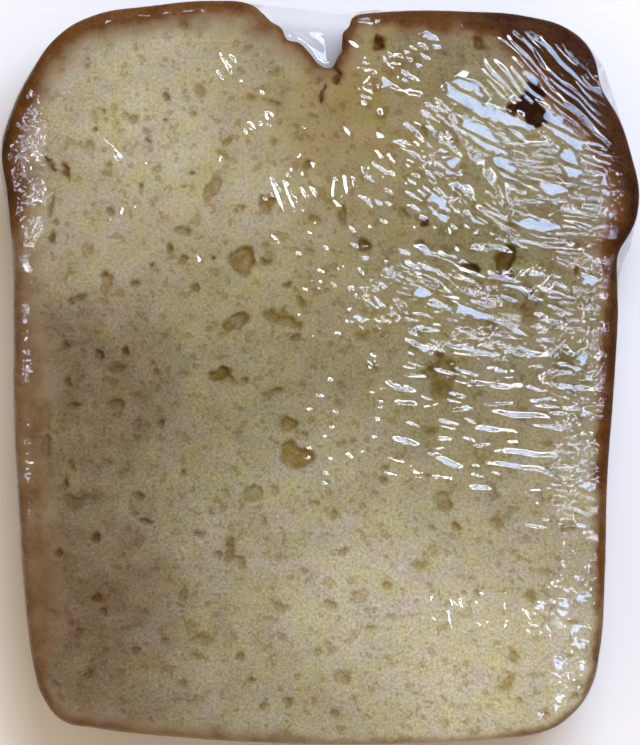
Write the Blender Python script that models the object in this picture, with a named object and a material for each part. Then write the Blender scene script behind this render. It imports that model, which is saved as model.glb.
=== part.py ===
"""A slice of pound cake, drawn tight in clear cling film and lying on its back cut face.

Metres, +Z up. The origin is under the middle of the slice, on the surface that it lies on. +Y points
from the flat foot of the loaf to its split crown, and +Z from the back cut face to the front one.
The solid is the slice as wrapped: the film bridges the split in the crown, where both faces dip.
"""

import math
import random

import bmesh
import bpy
from mathutils import Matrix, Vector, noise

MM = 0.001

# Driving dimensions
SLICE_HEIGHT = 98.0 * MM  # foot to crown, along Y
SLICE_WIDTH = 84.2 * MM  # across the overhanging crown, along X
SLICE_THICKNESS = 20.0 * MM  # between the cut faces, along Z
EDGE_ROUND = 2.6 * MM  # the film rounds the edges of both cut faces
EDGE_STEPS = 2  # the curve's bevel_resolution
STEPS_PER_POINT = 5  # straight runs between two outline points

CRUST_WAVE = 0.22 * MM  # unevenness of the baked sides
CRUST_WAVE_LENGTH = 7.0 * MM

FILM_DIP_LIP = 3.0 * MM  # how far the film is drawn in over the split, at the crown
FILM_DIP_ROOT = 0.9 * MM  # and at the bottom of the split
DIP_REACH = 5.0 * MM  # how far the cutter of the dip stands out of the slice
CRACK_WIDTH = 0.55 * MM
CRACK_DEPTH = 1.6 * MM
CRACK_OVERLAP = 1.44  # length of a groove against its stretch of the crack, so that they run together

PORE_LUMP = 0.28  # unevenness of a pore, as a share of its radius
PORE_LUMP_LENGTH = 0.7  # and the size of its lumps, in radii
FINE_PORE_MM2 = 4.5  # a pore with more length times width than this gets a finer sphere

FRONT_CELL = 11.5 * MM  # one small pore in each cell of this size
FRONT_RADIUS = (0.45 * MM, 0.85 * MM)
FRONT_SEED = 4
BACK_CELL = 14.0 * MM
BACK_RADIUS = (0.7 * MM, 1.3 * MM)
BACK_SEED = 9
PORE_STRETCH = (1.0, 1.7)
PORE_SINK = 0.9  # depth of a small pore in radii
CELL_SHIFT = 0.38  # how far a pore strays from the middle of its cell, in cells
CRUST_MARGIN_MM = 6.0  # no small pore nearer to the outline than this,
SPLIT_MARGIN_MM = 10.0  # nearer to the split's root,
PORE_GAP_MM = 1.6  # nearer to the rim of a large pore,
REST_SPOT_MM = 8.0  # or in the middle of the underside, on which the slice rests

# The outline in millimetres from the middle of the slice, anticlockwise from the split's right lip
OUTLINE_MM = [
    # the film's straight run over the split, from the right lip back to the left one
    (4.0, 47.1), (-2.0, 47.8), (-8.1, 48.5),
    # left lobe and its shoulder
    (-14.0, 49.0), (-22.5, 48.3), (-30.0, 47.0), (-34.6, 44.3), (-38.2, 39.4), (-40.9, 33.8),
    # overhang above the tin's left rim
    (-42.1, 29.0), (-41.5, 23.0), (-40.6, 15.5),
    # left wall of the tin
    (-40.4, 6.0), (-40.4, -5.0), (-39.8, -17.0), (-38.9, -30.0), (-37.8, -38.5),
    # left foot corner
    (-36.6, -42.6), (-33.9, -45.9), (-30.0, -46.8),
    # foot
    (-18.4, -48.1), (-4.5, -48.9), (11.2, -48.9), (23.1, -48.3), (29.6, -47.3),
    # right foot corner
    (32.6, -45.6), (35.6, -41.8), (36.9, -36.7),
    # right wall of the tin
    (37.6, -26.0), (37.9, -14.2), (38.7, -3.0), (39.3, 7.0), (39.5, 13.2),
    # overhang above the tin's right rim
    (41.0, 17.4), (42.1, 23.3), (41.1, 28.5), (38.3, 37.1), (36.6, 41.4),
    # right shoulder and lobe
    (33.0, 45.1), (27.0, 47.0), (19.1, 47.6), (11.2, 47.7),
]

# The split in the crown: its left edge down to the root, then its ragged right edge up again
SPLIT_MM = [
    (-8.3, 50.5), (-7.9, 48.0), (-6.4, 46.4), (-4.9, 45.5), (-4.2, 44.0), (-2.7, 43.6),
    (-1.1, 41.9), (0.0, 40.5), (1.3, 40.2), (2.2, 41.4), (2.9, 42.2), (2.8, 44.6),
    (3.6, 45.8), (3.8, 48.0), (4.0, 50.5),
]
SPLIT_ROOT_MM = (1.3, 40.2)
CRACK_MM = [(1.2, 40.6), (2.7, 39.1), (2.3, 38.0), (0.7, 37.8), (0.2, 36.4), (0.1, 35.2)]

# The largest pores: x, y, length, width, turn from +X in degrees, depth
LARGE_PORES_MM = [
    (27.9, 35.4, 4.9, 3.6, 20, 1.9),  # dark pocket under the right shoulder
    (7.7, 42.9, 1.9, 1.6, 60, 1.5),
    (-14.1, 24.2, 4.8, 1.7, 60, 0.9),
    (-7.2, 22.1, 2.6, 2.3, 0, 1.4),
    (-10.2, 14.7, 3.7, 2.9, 70, 1.4),
    (-28.0, 11.6, 2.9, 1.4, 75, 0.9),
    (-11.1, 6.6, 3.6, 1.8, 32, 1.4),
    (-5.2, 7.1, 4.8, 1.9, -18, 1.4),
    (-13.0, -0.2, 3.3, 1.4, 22, 1.2),
    (-26.6, -4.1, 2.0, 1.7, 20, 1.0),
    (-36.1, -6.2, 4.4, 1.5, 88, 0.9),
    (-4.1, -6.8, 2.2, 2.0, 0, 1.2),
    (-3.1, -10.8, 4.2, 3.3, -15, 1.4),
    (-8.5, -15.8, 2.7, 2.3, 0, 1.1),
    (-32.2, -17.0, 2.7, 2.2, 10, 0.9),
    (-11.9, -24.2, 2.1, 1.8, 80, 1.0),
    (-18.0, -29.1, 2.3, 1.6, 60, 0.9),
    (-15.7, -35.2, 3.3, 1.8, 0, 0.8),
    (-30.4, -39.5, 1.8, 1.4, 60, 1.0),
    (24.3, 14.4, 4.7, 2.5, 80, 1.7),
    (19.9, 13.7, 2.2, 1.9, 0, 1.2),
    (27.4, 8.8, 5.6, 2.1, 94, 1.2),
    (15.9, -0.7, 6.0, 3.1, 75, 1.3),
    (22.3, 5.5, 2.1, 1.6, 0, 1.0),
    (32.2, 1.5, 3.7, 2.4, 80, 0.9),
    (16.1, -16.9, 2.8, 2.4, 40, 1.0),
    (23.1, -19.7, 2.0, 1.8, 0, 1.1),
    (12.8, -25.4, 2.3, 1.6, 20, 0.9),
    (27.7, -29.5, 1.7, 1.6, 0, 1.1),
    (3.1, -39.9, 2.7, 2.1, 0, 0.9),
    (24.4, -40.9, 3.2, 1.4, 50, 1.1),
    (4.9, -29.5, 2.6, 1.6, 15, 0.8),
]

CRUMB_COLOUR = (0.46, 0.40, 0.24)
CRUMB_ROUGHNESS = 0.75


def clear_scene():
    for leftover in list(bpy.data.objects):
        bpy.data.objects.remove(leftover)


def new_collection(name):
    made = bpy.data.collections.new(name)
    bpy.context.scene.collection.children.link(made)
    return made


def crumb_material():
    made = bpy.data.materials.new("baked crumb")
    made.use_nodes = True
    shader = made.node_tree.nodes["Principled BSDF"]
    shader.inputs["Base Color"].default_value = (*CRUMB_COLOUR, 1.0)
    shader.inputs["Roughness"].default_value = CRUMB_ROUGHNESS
    shader.inputs["Metallic"].default_value = 0.0
    return made


def outline_curve():
    """The slice as a flat outline, extruded to its thickness, with both rims rounded."""
    curve = bpy.data.curves.new("outline", "CURVE")
    curve.dimensions = "2D"
    curve.fill_mode = "BOTH"
    curve.resolution_u = STEPS_PER_POINT
    curve.extrude = SLICE_THICKNESS / 2 - EDGE_ROUND
    curve.bevel_depth = EDGE_ROUND
    curve.bevel_resolution = EDGE_STEPS
    curve.offset = -EDGE_ROUND  # so that the rounding stays inside the outline
    spline = curve.splines.new("BEZIER")
    spline.bezier_points.add(len(OUTLINE_MM) - 1)
    spline.use_cyclic_u = True
    for point, (x, y) in zip(spline.bezier_points, OUTLINE_MM):
        point.co = (x * MM, y * MM, 0)
        point.handle_left_type = point.handle_right_type = "AUTO"
    guide = bpy.data.objects.new("outline", curve)
    bpy.context.scene.collection.objects.link(guide)
    return guide


def mesh_from_curve(guide):
    """The curve as one closed mesh, with its caps welded on. The curve is removed."""
    graph = bpy.context.evaluated_depsgraph_get()
    mesh = bpy.data.meshes.new_from_object(guide.evaluated_get(graph))
    bpy.data.objects.remove(guide)
    work = bmesh.new()
    work.from_mesh(mesh)
    bmesh.ops.remove_doubles(work, verts=work.verts, dist=0.01 * MM)
    bmesh.ops.recalc_face_normals(work, faces=work.faces)
    work.to_mesh(mesh)
    work.free()
    return mesh


def fit_to_size(mesh):
    """Sets the mesh on the origin, at exactly the slice's width, height and thickness."""
    corners = [[f(v.co[k] for v in mesh.vertices) for f in (min, max)] for k in range(3)]
    sizes = (SLICE_WIDTH, SLICE_HEIGHT, SLICE_THICKNESS)
    for vertex in mesh.vertices:
        for k, (low, high) in enumerate(corners):
            share = (vertex.co[k] - low) / (high - low)
            vertex.co[k] = sizes[k] * (share - (0.5 if k < 2 else 0.0))


def wave_crust(mesh):
    """Pushes the baked sides in by a slow noise. Both cut faces stay flat."""
    for vertex in mesh.vertices:
        outward = Vector((vertex.co.x, vertex.co.y, 0)).normalized()
        lump = noise.noise(vertex.co / CRUST_WAVE_LENGTH)
        vertex.co -= outward * CRUST_WAVE * (lump + 1)


def wrapped_slice(parts):
    mesh = mesh_from_curve(outline_curve())
    wave_crust(mesh)
    fit_to_size(mesh)
    mesh.name = "wrapped_cake_slice"
    mesh.materials.clear()
    mesh.materials.append(crumb_material())
    made = bpy.data.objects.new("wrapped_cake_slice", mesh)
    parts.objects.link(made)
    return made


def add_cutter(name, work, cutters):
    """Turns a bmesh into a cutter, which is a guide and no part."""
    bmesh.ops.recalc_face_normals(work, faces=work.faces)
    mesh = bpy.data.meshes.new(name)
    work.to_mesh(mesh)
    work.free()
    made = bpy.data.objects.new(name, mesh)
    made.hide_render = True
    made.display_type = "WIRE"
    cutters.objects.link(made)


def dip_cutter(name, cutters, underside):
    """A prism of the split's outline. Its inner end slopes, so the film's dip grows towards the crown."""
    lip, root = max(y for _, y in SPLIT_MM), min(y for _, y in SPLIT_MM)
    work = bmesh.new()
    inner = []
    for x, y in SPLIT_MM:
        share = (y - root) / (lip - root)
        dip = FILM_DIP_ROOT + (FILM_DIP_LIP - FILM_DIP_ROOT) * share
        height = dip if underside else SLICE_THICKNESS - dip
        inner.append(work.verts.new((x * MM, y * MM, height)))
    outer = bmesh.ops.extrude_face_region(work, geom=[work.faces.new(inner)])["geom"]
    for vertex in (item for item in outer if isinstance(item, bmesh.types.BMVert)):
        vertex.co.z = -DIP_REACH if underside else SLICE_THICKNESS + DIP_REACH
    add_cutter(name, work, cutters)


def lump_cutter(name, place, half, turn, fine, cutters):
    """An uneven ellipsoid about a place: its three half lengths, and its turn about Z."""
    work = bmesh.new()
    bmesh.ops.create_icosphere(work, subdivisions=2 if fine else 1, radius=1.0)
    for vertex in work.verts:
        vertex.co *= 1 + PORE_LUMP * noise.noise(vertex.co / PORE_LUMP_LENGTH + place / MM)
    move = Matrix.Translation(place) @ Matrix.Rotation(turn, 4, "Z") @ Matrix.Diagonal(half).to_4x4()
    bmesh.ops.transform(work, verts=work.verts, matrix=move)
    add_cutter(name, work, cutters)


def crack(cutters):
    """The crack that runs on from the split's root: short grooves, each one narrower than the last."""
    for k, (start, end) in enumerate(zip(CRACK_MM, CRACK_MM[1:])):
        a, b = Vector((*start, 0)) * MM, Vector((*end, 0)) * MM
        share = 1 - k / len(CRACK_MM)
        place = (a + b) / 2 + Vector((0, 0, SLICE_THICKNESS))
        half = Vector(((b - a).length * CRACK_OVERLAP / 2, CRACK_WIDTH * share, CRACK_DEPTH * share))
        lump_cutter(f"crack_{k}", place, half, math.atan2(b.y - a.y, b.x - a.x), False, cutters)


def large_pores(cutters):
    for k, (x, y, length, width, turn, depth) in enumerate(LARGE_PORES_MM):
        place = Vector((x * MM, y * MM, SLICE_THICKNESS))
        half = Vector((length / 2, width / 2, depth)) * MM
        fine = length * width > FINE_PORE_MM2
        lump_cutter(f"pore_{k}", place, half, math.radians(turn), fine, cutters)


def depth_inside(x, y):
    """How far a place on the cut face lies inside the outline, or less than 0 outside it (millimetres)."""
    place = Vector((x, y))
    nearest, inside = math.inf, False
    for a, b in zip(OUTLINE_MM, OUTLINE_MM[1:] + OUTLINE_MM[:1]):
        start, run = Vector(a), Vector(b) - Vector(a)
        share = min(1.0, max(0.0, (place - start).dot(run) / run.length_squared))
        nearest = min(nearest, (place - start - share * run).length)
        if (a[1] > y) != (b[1] > y) and x < a[0] + run.x * (y - a[1]) / run.y:
            inside = not inside
    return nearest if inside else -nearest


def clear_of_large_pores(x, y):
    return all(math.hypot(x - p[0], y - p[1]) > p[2] / 2 + PORE_GAP_MM for p in LARGE_PORES_MM)


def clear_of_rest_spot(x, y):
    return math.hypot(x, y) > REST_SPOT_MM


def small_pores(name, height, cell, radii, seed, keep, cutters):
    """One pore in each cell of a grid, strayed from its middle, where keep(x, y) allows one."""
    draw = random.Random(seed)
    columns, rows = int(SLICE_WIDTH / cell) + 1, int(SLICE_HEIGHT / cell) + 1
    for row in range(rows):
        for column in range(columns):
            x = (column - (columns - 1) / 2 + draw.uniform(-CELL_SHIFT, CELL_SHIFT)) * cell
            y = (row - (rows - 1) / 2 + draw.uniform(-CELL_SHIFT, CELL_SHIFT)) * cell
            radius, stretch = draw.uniform(*radii), draw.uniform(*PORE_STRETCH)
            turn = draw.uniform(0, math.pi)
            from_split = math.hypot(x / MM - SPLIT_ROOT_MM[0], y / MM - SPLIT_ROOT_MM[1])
            if depth_inside(x / MM, y / MM) < CRUST_MARGIN_MM or from_split < SPLIT_MARGIN_MM:
                continue
            if keep(x / MM, y / MM):
                half = Vector((radius * stretch, radius, radius * PORE_SINK))
                lump_cutter(f"{name}_{row}_{column}", Vector((x, y, height)), half, turn, False, cutters)


def cut(body, cutters):
    modifier = body.modifiers.new("split, crack and pores", "BOOLEAN")
    modifier.operation = "DIFFERENCE"
    modifier.operand_type = "COLLECTION"
    modifier.collection = cutters
    modifier.solver = "EXACT"


def main():
    clear_scene()
    parts = new_collection("wrapped pound cake slice")
    cutters = new_collection("cutters")
    body = wrapped_slice(parts)
    dip_cutter("film_dip_front", cutters, underside=False)
    dip_cutter("film_dip_back", cutters, underside=True)
    crack(cutters)
    large_pores(cutters)
    front = (SLICE_THICKNESS, FRONT_CELL, FRONT_RADIUS, FRONT_SEED)
    small_pores("front_pore", *front, clear_of_large_pores, cutters)
    back = (0.0, BACK_CELL, BACK_RADIUS, BACK_SEED)
    small_pores("back_pore", *back, clear_of_rest_spot, cutters)
    cut(body, cutters)


main()
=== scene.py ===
import math
import random

import bmesh
import bpy
import numpy as np
from mathutils import Matrix, Vector, noise


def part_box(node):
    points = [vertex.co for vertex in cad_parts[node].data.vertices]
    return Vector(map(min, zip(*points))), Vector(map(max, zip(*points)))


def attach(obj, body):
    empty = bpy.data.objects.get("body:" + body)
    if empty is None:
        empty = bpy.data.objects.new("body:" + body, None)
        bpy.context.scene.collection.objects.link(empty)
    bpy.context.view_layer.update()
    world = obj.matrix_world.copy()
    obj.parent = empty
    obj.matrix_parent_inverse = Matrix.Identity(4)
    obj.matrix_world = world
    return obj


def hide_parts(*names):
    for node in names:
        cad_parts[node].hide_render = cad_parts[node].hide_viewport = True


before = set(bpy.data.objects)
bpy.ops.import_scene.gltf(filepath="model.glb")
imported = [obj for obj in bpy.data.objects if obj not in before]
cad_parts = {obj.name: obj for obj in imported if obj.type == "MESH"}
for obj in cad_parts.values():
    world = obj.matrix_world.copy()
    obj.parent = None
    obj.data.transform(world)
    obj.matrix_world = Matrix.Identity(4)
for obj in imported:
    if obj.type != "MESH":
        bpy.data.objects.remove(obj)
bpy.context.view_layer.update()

# A slice of pound cake in clear cling film, lying on its back cut face. Shapes are worked out in
# millimetres on the frame's own axes, and a mesh becomes metres when it is finished.

mm = 0.001
tiny = 1e-9  # stands in for 0 where something is divided by it
noise.seed_set(2)  # or else its vectors start from the clock
cadNode = "wrapped_cake_slice"
boxLow, boxHigh = (np.array(corner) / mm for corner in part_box(cadNode))

sliceShape = {
    # the film's outline, anticlockwise from the right lip of the split, as the solid has it
    "outline": [
        (4, 47.1), (-2, 47.8), (-8.1, 48.5), (-14, 49), (-22.5, 48.3), (-30, 47), (-34.6, 44.3),
        (-38.2, 39.4), (-40.9, 33.8), (-42.1, 29), (-41.5, 23), (-40.6, 15.5), (-40.4, 6), (-40.4, -5),
        (-39.8, -17), (-38.9, -30), (-37.8, -38.5), (-36.6, -42.6), (-33.9, -45.9), (-30, -46.8),
        (-18.4, -48.1), (-4.5, -48.9), (11.2, -48.9), (23.1, -48.3), (29.6, -47.3), (32.6, -45.6),
        (35.6, -41.8), (36.9, -36.7), (37.6, -26), (37.9, -14.2), (38.7, -3), (39.3, 7), (39.5, 13.2),
        (41, 17.4), (42.1, 23.3), (41.1, 28.5), (38.3, 37.1), (36.6, 41.4), (33, 45.1), (27, 47),
        (19.1, 47.6), (11.2, 47.7),
    ],
    "filmRun": 3,  # its first points, where the film runs straight over the split
    # the split's ragged edge, from its right lip down to the root and up to the left lip
    "split": [
        (4.6, 47.3), (3.9, 46.6), (3.6, 45.6), (2.8, 44.6), (2.9, 42.6), (2.2, 41.5), (1.3, 40.2),
        (0, 40.6), (-1.1, 41.9), (-2.7, 43.5), (-4.2, 43.9), (-4.9, 45.3), (-6.4, 46.3), (-7.5, 47.4),
        (-9, 48.5),
    ],
    "steps": 8,  # straight runs between two outline points
    "core": (27.0, 32.0),  # half size of the middle, so deep inside that no rim counts there
}


# A closed Bezier curve through the points, read back as a polygon
def smoothOutline(points):
    curve = bpy.data.curves.new("outline", "CURVE")
    curve.dimensions = "2D"
    curve.resolution_u = sliceShape["steps"]
    curve.fill_mode = "NONE"
    spline = curve.splines.new("BEZIER")
    spline.bezier_points.add(len(points) - 1)
    spline.use_cyclic_u = True
    for knot, (x, y) in zip(spline.bezier_points, points):
        knot.co = (x, y, 0)
        knot.handle_left_type = knot.handle_right_type = "AUTO"
    guide = bpy.data.objects.new("outline", curve)
    bpy.context.scene.collection.objects.link(guide)
    mesh = bpy.data.meshes.new_from_object(guide.evaluated_get(bpy.context.evaluated_depsgraph_get()))
    polygon = np.array([vertex.co[:2] for vertex in mesh.vertices])
    bpy.data.objects.remove(guide)
    return polygon


# For each place: how far it lies inside the polygon (below 0 outside), and the direction inwards
def insideDistance(places, polygon):
    nearest = np.full(len(places), sum(sliceShape["core"]))
    foot = places[:, :2].copy()
    inside = np.ones(len(places), bool)
    outer = np.flatnonzero((abs(places[:, :2]) > sliceShape["core"]).any(axis=1))
    spots = places[outer, :2]
    closest = np.full(len(outer), np.inf)
    found = np.zeros((len(outer), 2))
    within = np.zeros(len(outer), bool)
    for start, end in zip(polygon, np.roll(polygon, -1, axis=0)):
        run = end - start
        share = np.clip((spots - start) @ run / max(run @ run, tiny), 0, 1)
        near = start + share[:, None] * run
        away = np.hypot(*(spots - near).T)
        closer = away < closest
        closest[closer] = away[closer]
        found[closer] = near[closer]
        if start[1] != end[1]:
            crossed = (start[1] > spots[:, 1]) != (end[1] > spots[:, 1])
            within ^= crossed & (spots[:, 0] < start[0] + run[0] * (spots[:, 1] - start[1]) / run[1])
    nearest[outer], foot[outer], inside[outer] = closest, found, within
    sign = np.where(inside, 1.0, -1.0)
    inwards = (places[:, :2] - foot) * (sign / np.maximum(nearest, tiny))[:, None]
    return nearest * sign, inwards


# For each place: how far it lies from a line through the points, and how far along it, from 0 to 1
def lineDistance(places, points):
    points = np.array(points)
    lengths = np.linalg.norm(np.diff(points, axis=0), axis=1)
    nearest = np.full(len(places), np.inf)
    along = np.zeros(len(places))
    for k, (start, end) in enumerate(zip(points, points[1:])):
        run = end - start
        share = np.clip((places[:, :2] - start) @ run / (run @ run), 0, 1)
        away = np.linalg.norm(places[:, :2] - start - share[:, None] * run, axis=1)
        closer = away < nearest
        nearest[closer] = away[closer]
        along[closer] = (lengths[:k].sum() + share[closer] * lengths[k]) / lengths.sum()
    return nearest, along


# The place that lies along and across from x, y on axes turned by some degrees
def spotAt(x, y, along, across, turn):
    c, s = math.cos(math.radians(turn)), math.sin(math.radians(turn))
    return x + along * c - across * s, y + along * s + across * c


# The other way round: each place's coordinates along and across from x, y
def turned(places, x, y, turn):
    c, s = math.cos(math.radians(turn)), math.sin(math.radians(turn))
    away = places[:, :2] - (x, y)
    return away[:, 0] * c + away[:, 1] * s, away[:, 1] * c - away[:, 0] * s


# Each row's numbers after x and y, mixed at each place by how near it is to the rows
def blendRows(places, rows, reach):
    rows = np.array(rows)
    away = ((places[:, None, :2] - rows[None, :, :2]) ** 2).sum(axis=2)
    weight = 1 / (away + reach ** 2) ** 2
    return (weight @ rows[:, 2:]) / weight.sum(axis=1)[:, None]


# Noise at each place, of several sizes added up. A row has a size, a height and where its pattern starts
def noiseAt(places, *rows):
    total = np.zeros(len(places))
    for size, height, start in rows:
        shift = Vector((start, 0, 0))
        total += height * np.array([noise.noise(Vector(place) / size + shift) for place in places])
    return total


def readPlaces(work):
    return np.array([vertex.co for vertex in work.verts])


def readParts(work):
    part = work.verts.layers.float["part"]
    return np.array([vertex[part] for vertex in work.verts])


def writePlaces(work, places):
    for vertex, place in zip(work.verts, places):
        vertex.co = place


# A flat sheet of square cells, cut to the outline drawn in by gap, with its rim pulled onto it. A vertex
# that lies a little too far out is pulled in as well
def sheetFromOutline(polygon, gap, step):
    work = bmesh.new()
    low, high = polygon.min(axis=0), polygon.max(axis=0)
    cells = np.ceil((high - low) / step).astype(int)
    place = Matrix.Translation((*(low + high) / 2, 0)) @ Matrix.Diagonal((*(cells * step / 2), 1, 1))
    bmesh.ops.create_grid(work, x_segments=cells[0], y_segments=cells[1], size=1.0, matrix=place)
    inside, _ = insideDistance(readPlaces(work), polygon)
    tooFar = -0.3 * step
    outer = [vertex for vertex, depth in zip(work.verts, inside - gap) if depth < tooFar]
    bmesh.ops.delete(work, geom=outer, context="VERTS")
    while True:  # cells that hang on by one corner come off
        loose = [v for v in work.verts if not v.link_faces or sum(e.is_boundary for e in v.link_edges) > 2]
        if not loose:
            break
        bmesh.ops.delete(work, geom=loose, context="VERTS")
    rim = [vertex for vertex in work.verts if vertex.is_boundary]
    inside, inwards = insideDistance(np.array([vertex.co for vertex in rim]), polygon)
    for vertex, depth, (x, y) in zip(rim, inside - gap, inwards):
        vertex.co -= Vector((x, y, 0)) * depth
    second = {edge.other_vert(vertex) for vertex in rim for edge in vertex.link_edges} - set(rim)
    for _ in range(3):
        bmesh.ops.smooth_vert(work, verts=list(second), factor=0.5, use_axis_x=True, use_axis_y=True)
    return work


# The sheet, its copy on the back and the wall between them, in rings. The layer "part" says where a
# vertex is: 1 on the front, 0 on the back and between them on the wall
def slabFromSheet(work, rings):
    part = work.verts.layers.float.new("part")
    for vertex in work.verts:
        vertex[part] = 1.0
    copied = bmesh.ops.duplicate(work, geom=work.verts[:] + work.edges[:] + work.faces[:])["geom"]
    for vertex in (item for item in copied if isinstance(item, bmesh.types.BMVert)):
        vertex[part] = 0.0
        vertex.co.z = -1.0
    rims = [edge for edge in work.edges if edge.is_boundary]
    between = bmesh.ops.bridge_loops(work, edges=rims)["edges"]
    upright = [edge for edge in between if edge.verts[0][part] != edge.verts[1][part]]
    bmesh.ops.subdivide_edges(work, edges=upright, cuts=rings - 1, use_grid_fill=True)
    bmesh.ops.recalc_face_normals(work, faces=work.faces[:])


# Halves the cells of the front whose corners are all wanted
def refineFront(work, wanted):
    part = work.verts.layers.float["part"]
    chosen = {vertex for vertex, want in zip(work.verts, wanted) if want and vertex[part] == 1}
    edges = [e for e in work.edges if all(v in chosen for face in e.link_faces for v in face.verts)]
    bmesh.ops.subdivide_edges(work, edges=edges, cuts=1, use_grid_fill=True)


# Rounds both rims. The cells near a rim are spread over its arc, so that they stay as long as elsewhere
def roundRims(places, part, polygon, gap, radius, low, high):
    inside, inwards = insideDistance(places, polygon)
    inside = np.maximum(inside - gap, 0)
    arc = radius * math.pi / 2
    angle = np.minimum(inside / radius, math.pi / 2)
    beyond = np.clip((inside - arc) / (2 * radius), 0, 1)
    bent = inside - radius * (1 - np.cos(angle))
    spare = np.where(inside < arc, bent, (arc - radius) * (1 - beyond) ** 2)
    places[:, :2] -= inwards * spare[:, None]
    drop = radius * (1 - np.sin(angle))
    wall = low + radius + (high - low - 2 * radius) * part
    places[:, 2] = np.where(part == 1, high - drop, np.where(part == 0, low + drop, wall))


# Makes the mesh metres and an object, with at most limit triangles: the flattest places lose theirs,
# but the kept vertices stay
def finishMesh(name, work, limit, kept=()):
    bmesh.ops.scale(work, vec=(mm, mm, mm), verts=work.verts[:])
    bmesh.ops.triangulate(work, faces=work.faces[:])
    mesh = bpy.data.meshes.new(name)
    work.to_mesh(mesh)
    work.free()
    made = bpy.data.objects.new(name, mesh)
    bpy.context.scene.collection.objects.link(made)
    count = len(mesh.polygons)
    if count > limit:
        thinner = made.modifiers.new("fewer triangles where it is flat", "DECIMATE")
        thinner.ratio = limit / count
        if len(kept):
            group = made.vertex_groups.new(name="kept")
            group.add([int(k) for k in kept], 1.0, "REPLACE")
            thinner.vertex_group = group.name
            thinner.invert_vertex_group = True
        thinned = made.evaluated_get(bpy.context.evaluated_depsgraph_get())
        made.data = bpy.data.meshes.new_from_object(thinned)
        made.modifiers.clear()
        made.vertex_groups.clear()
        bpy.data.meshes.remove(mesh)
        made.data.name = name
    made.data.shade_smooth()
    print(f"{name}: {len(made.data.polygons)} triangles of {count}")
    return made


def addAttribute(mesh, name, values):
    layer = mesh.attributes.new(name, "FLOAT", "POINT")
    layer.data.foreach_set("value", values)


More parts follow.
